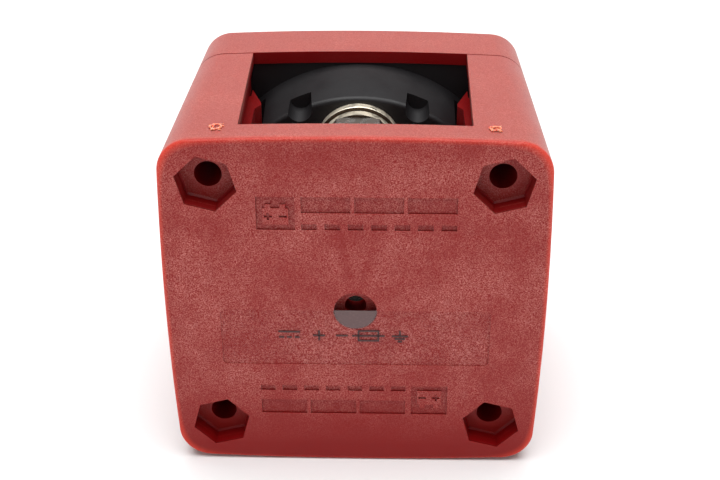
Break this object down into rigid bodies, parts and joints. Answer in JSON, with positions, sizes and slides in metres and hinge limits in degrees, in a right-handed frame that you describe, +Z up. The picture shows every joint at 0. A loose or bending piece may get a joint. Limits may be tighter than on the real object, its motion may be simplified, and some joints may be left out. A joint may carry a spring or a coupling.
{
  "type": "battery switch",
  "caption": "Compact square rotary battery isolator switch with threaded rear terminals, a bar knob and a clip-on isolating cover with cable windows.",
  "frame": {"origin": "centre of the flat mounting face of the isolating cover", "axes": "+Y along the knob's axis, from the mounting face to the knob; +Z up, towards one cable window; +X to the right seen from the mounting face"},
  "size_m": [0.0696, 0.078, 0.0696],
  "materials": {
    "red_polycarbonate": "satin moulded plastic",
    "clear_film": "clear gloss film",
    "dial_vinyl": "printed vinyl",
    "black_nylon": "satin glass-filled nylon",
    "black_screw": "black oxide",
    "seal_rubber": "moulded rubber",
    "tinned_copper": "bright tin plating",
    "stainless_steel": "machined",
    "silver_contact": "polished",
    "bare_copper": "bare copper bar",
    "white_acetal": "natural acetal",
    "white_inlay": "white two-shot inlay",
    "spring_steel": "drawn wire",
    "bearing_steel": "polished ball"
  },
  "bodies": {
    "housing": {"isolating_cover": "red_polycarbonate", "clear_label": "clear_film", "front_housing": "red_polycarbonate", "dial_label": "dial_vinyl", "rear_housing": "black_nylon", "housing_screws": "black_screw", "housing_gasket": "seal_rubber", "line_stud": "tinned_copper", "load_stud": "tinned_copper", "stud_lock_washers": "stainless_steel", "stud_nuts": "stainless_steel", "fixed_contact_tips": "silver_contact", "detent_plate": "stainless_steel", "thrust_washer": "stainless_steel"},
    "rotor": {"rotor": "white_acetal", "shaft_o_ring": "seal_rubber", "knob": "red_polycarbonate", "knob_pointer": "white_inlay", "knob_screw": "stainless_steel", "knob_cap": "red_polycarbonate", "contact_spring": "spring_steel", "detent_spring_upper": "spring_steel", "detent_spring_lower": "spring_steel"},
    "moving_contact": {"contact_bridge": "bare_copper", "moving_contact_tips": "silver_contact", "spring_seat": "white_acetal"},
    "upper_ball": {"detent_ball_upper": "bearing_steel"},
    "lower_ball": {"detent_ball_lower": "bearing_steel"}
  },
  "joints": [
    {"name": "knob_turn", "type": "hinge", "parent": "housing", "child": "rotor", "pos_m": [0, 0.05, 0], "axis": [0, 1, 0], "range_deg": [0, 90]},
    {"name": "contact_float", "type": "slide", "parent": "rotor", "child": "moving_contact", "axis": [0, 1, 0], "range_m": [0, 0.0008], "stiffness_N_per_m": 6000, "springref_m": -0.002, "deforming": ["contact_spring"]},
    {"name": "upper_ball_drop", "type": "slide", "parent": "rotor", "child": "upper_ball", "axis": [0, 1, 0], "range_m": [0, 0.0005], "stiffness_N_per_m": 1500, "springref_m": 0.002, "deforming": ["detent_spring_upper"]},
    {"name": "lower_ball_drop", "type": "slide", "parent": "rotor", "child": "lower_ball", "axis": [0, 1, 0], "range_m": [0, 0.0005], "stiffness_N_per_m": 1500, "springref_m": 0.002, "deforming": ["detent_spring_lower"]}
  ]
}
